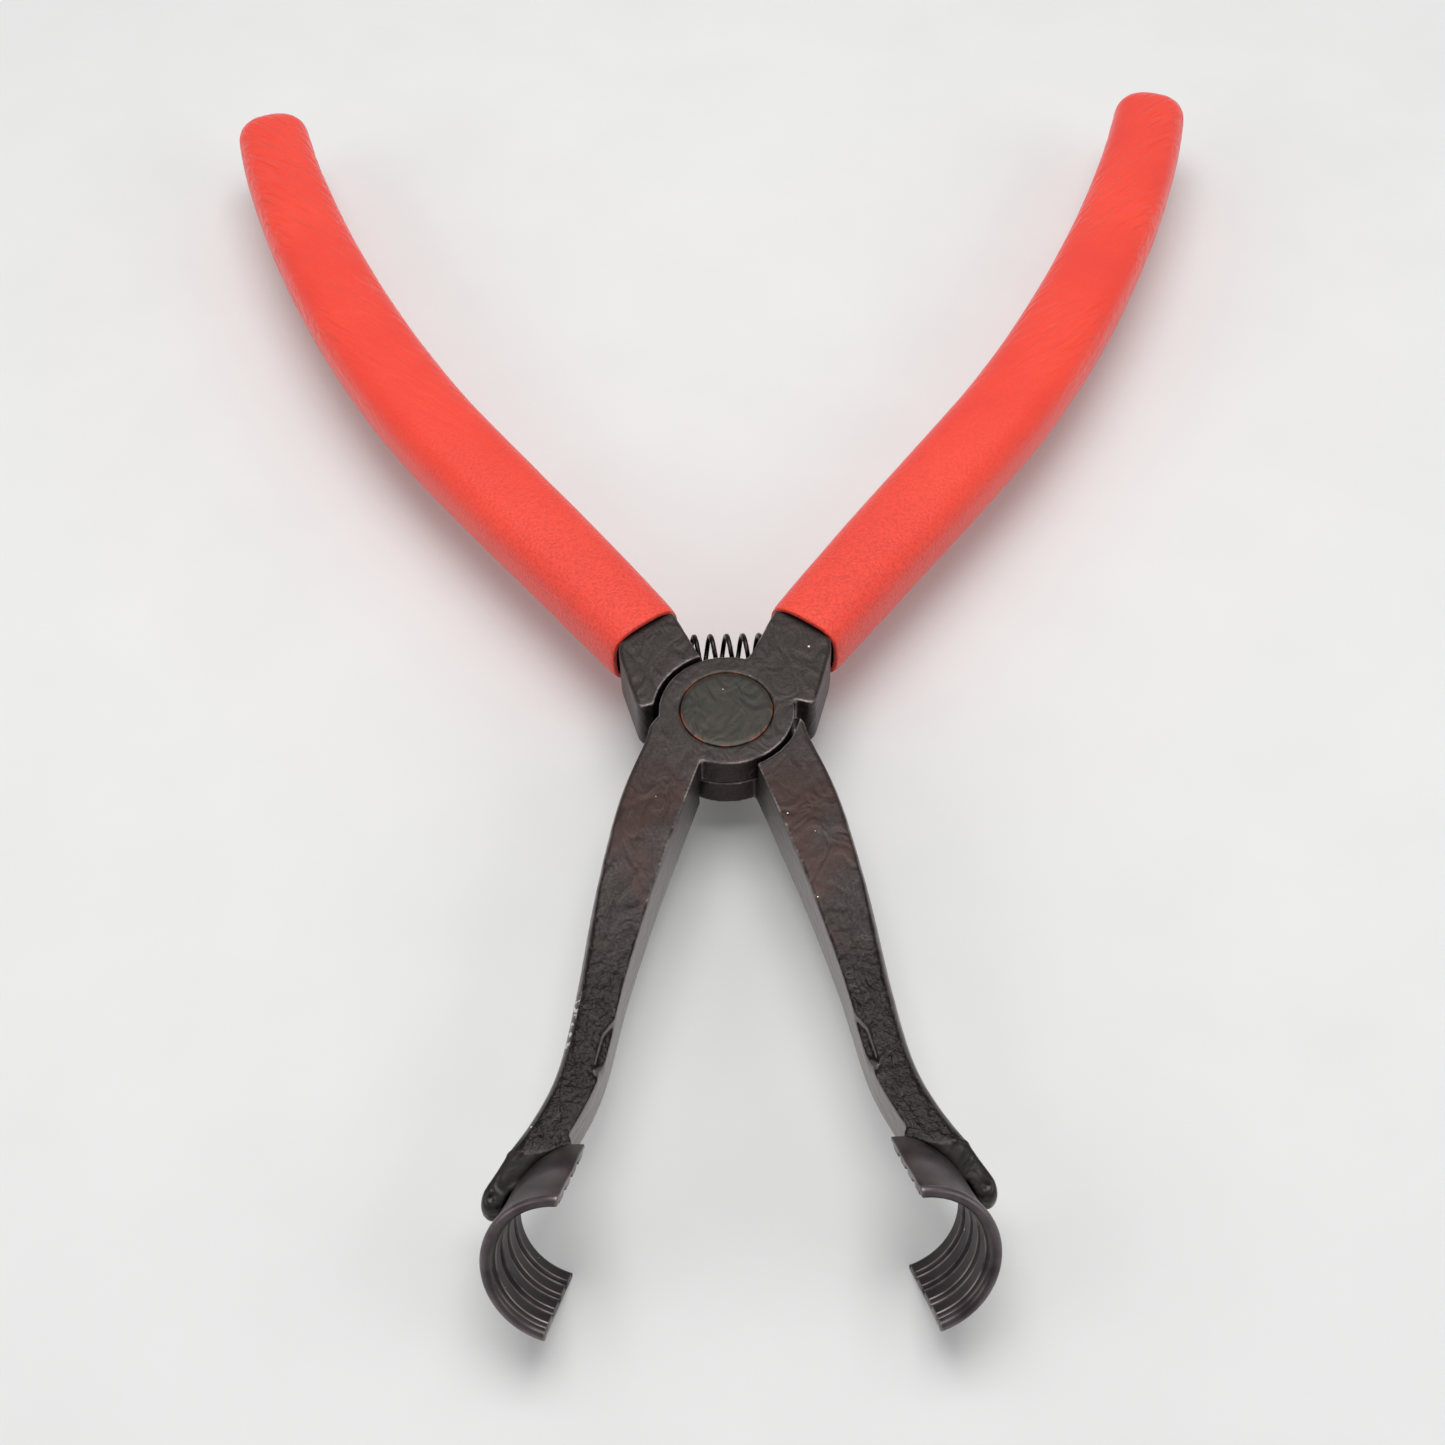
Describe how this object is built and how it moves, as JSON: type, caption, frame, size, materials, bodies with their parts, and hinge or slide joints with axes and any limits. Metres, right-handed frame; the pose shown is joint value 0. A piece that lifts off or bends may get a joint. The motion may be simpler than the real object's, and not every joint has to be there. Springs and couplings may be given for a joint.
{
  "type": "spring-return pliers",
  "caption": "Spring-return lap-joint pliers with dipped grips, long cranked arms and forward-tilted half-cylinder jaws, ribbed inside, that close round a hose, boot or cap.",
  "frame": {"origin": "on the pivot axis, in the plane of the steel back faces", "axes": "+Y from the pivot towards the handle ends, +Z towards the front face, +X to the right seen from the front"},
  "size_m": [0.2202, 0.2974, 0.0309],
  "materials": {
    "black_steel": "matt black oxide on forged steel",
    "spring_steel": "oil-blackened spring wire",
    "red_vinyl": "matt dipped vinyl, fine grain"
  },
  "bodies": {
    "back_half": {"plier_half_back": "black_steel", "pivot_rivet": "black_steel", "return_spring": "spring_steel", "grip_left": "red_vinyl", "jaw_cup_right": "black_steel", "cup_weld_front_right": "black_steel", "cup_weld_back_right": "black_steel"},
    "front_half": {"plier_half_front": "black_steel", "grip_right": "red_vinyl", "jaw_cup_left": "black_steel", "cup_weld_front_left": "black_steel", "cup_weld_back_left": "black_steel"}
  },
  "joints": [
    {"name": "pivot", "type": "hinge", "parent": "back_half", "child": "front_half", "pos_m": [0, 0, 0.006], "axis": [0, 0, 1], "range_deg": [0, 29.6], "stiffness_Nm_per_rad": 0.5, "springref_deg": -9.74, "deforming": ["return_spring"]}
  ]
}
